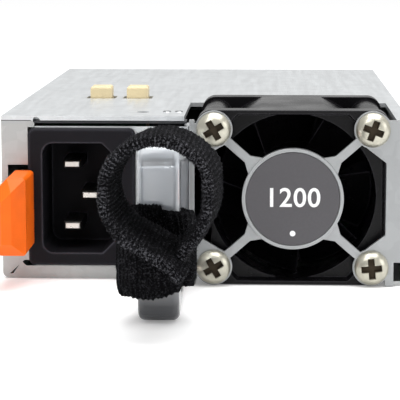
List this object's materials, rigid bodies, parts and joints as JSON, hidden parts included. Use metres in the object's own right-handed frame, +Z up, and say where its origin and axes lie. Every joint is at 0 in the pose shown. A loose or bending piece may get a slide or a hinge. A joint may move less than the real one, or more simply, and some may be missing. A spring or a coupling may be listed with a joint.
{
  "type": "hot swap server power supply",
  "caption": "Slide-in sheet-metal power supply with mains inlet, guarded fan, sprung release latch, D handle with cord strap and a card edge at the rear.",
  "frame": {"origin": "centre of the case's underside, halfway between its side walls and between the inlet panel and the rear panel", "axes": "+Z up, +Y along the case from the service end with the fan and inlet to the card edge, +X to the right seen from the service end"},
  "size_m": [0.0918, 0.2694, 0.0403],
  "materials": {
    "zinc_sheet": "zinc-plated sheet, satin",
    "guard_steel": "zinc-plated sheet, satin",
    "disc_grey": "printed grey film, satin",
    "fan_plastic": "glass-filled moulding, satin",
    "magnet": "bonded magnet, matt",
    "pin_steel": "nickel-plated, satin",
    "core_steel": "stacked laminations",
    "screw_nickel": "warm nickel plate",
    "inlet_plastic": "flame-retardant moulding, satin",
    "handle_smoke": "translucent smoke polycarbonate",
    "lamp": "diffused lens",
    "strap_fabric": "hook-and-loop tape, napped",
    "latch_orange": "satin moulding",
    "board_green": "solder mask",
    "contact_gold": "gold-plated",
    "copper": "enamelled wire",
    "ferrite": "sintered, matt",
    "capacitor_sleeve": "shrink sleeve",
    "heat_sink": "extruded, plain",
    "nylon": "natural nylon",
    "insulator": "polymer film"
  },
  "bodies": {
    "case": {"bottom_tray": "zinc_sheet", "top_cover": "zinc_sheet", "inlet_panel": "zinc_sheet", "rear_panel": "zinc_sheet", "fan_guard": "guard_steel", "guard_disc": "disc_grey", "fan_frame": "fan_plastic", "fan_bearings": "pin_steel", "fan_stator": "core_steel", "fan_driver_board": "board_green", "fan_screws": "screw_nickel", "inlet_housing": "inlet_plastic", "line_pin": "pin_steel", "neutral_pin": "pin_steel", "earth_pin": "pin_steel", "handle": "handle_smoke", "handle_screws": "screw_nickel", "status_lamp": "lamp", "strap_wrap": "strap_fabric", "strap_loop": "strap_fabric", "latch_pin": "pin_steel", "latch_spring": "pin_steel", "main_board": "board_green", "edge_contacts": "contact_gold", "board_posts": "pin_steel", "filter_board": "board_green", "filter_choke": "ferrite", "bulk_capacitors": "capacitor_sleeve", "transformer_core": "ferrite", "transformer_winding": "copper", "heat_sinks": "heat_sink", "output_capacitors": "capacitor_sleeve", "nylon_keys": "nylon", "insulator_sheet": "insulator", "cover_screws": "screw_nickel"},
    "fan_rotor": {"fan_rotor": "fan_plastic", "fan_shaft": "pin_steel", "fan_magnet": "magnet"},
    "latch": {"latch_arm": "pin_steel", "latch_tab": "latch_orange"}
  },
  "joints": [
    {"name": "fan_spin", "type": "hinge", "parent": "case", "child": "fan_rotor", "pos_m": [0.0197, -0.083, 0.0193], "axis": [0, 1, 0], "continuous": true},
    {"name": "latch_press", "type": "hinge", "parent": "case", "child": "latch", "pos_m": [-0.0412, -0.033, 0.016], "axis": [0, 0, 1], "range_deg": [0, 2.3], "stiffness_Nm_per_rad": 0.6, "springref_deg": -2.86}
  ]
}
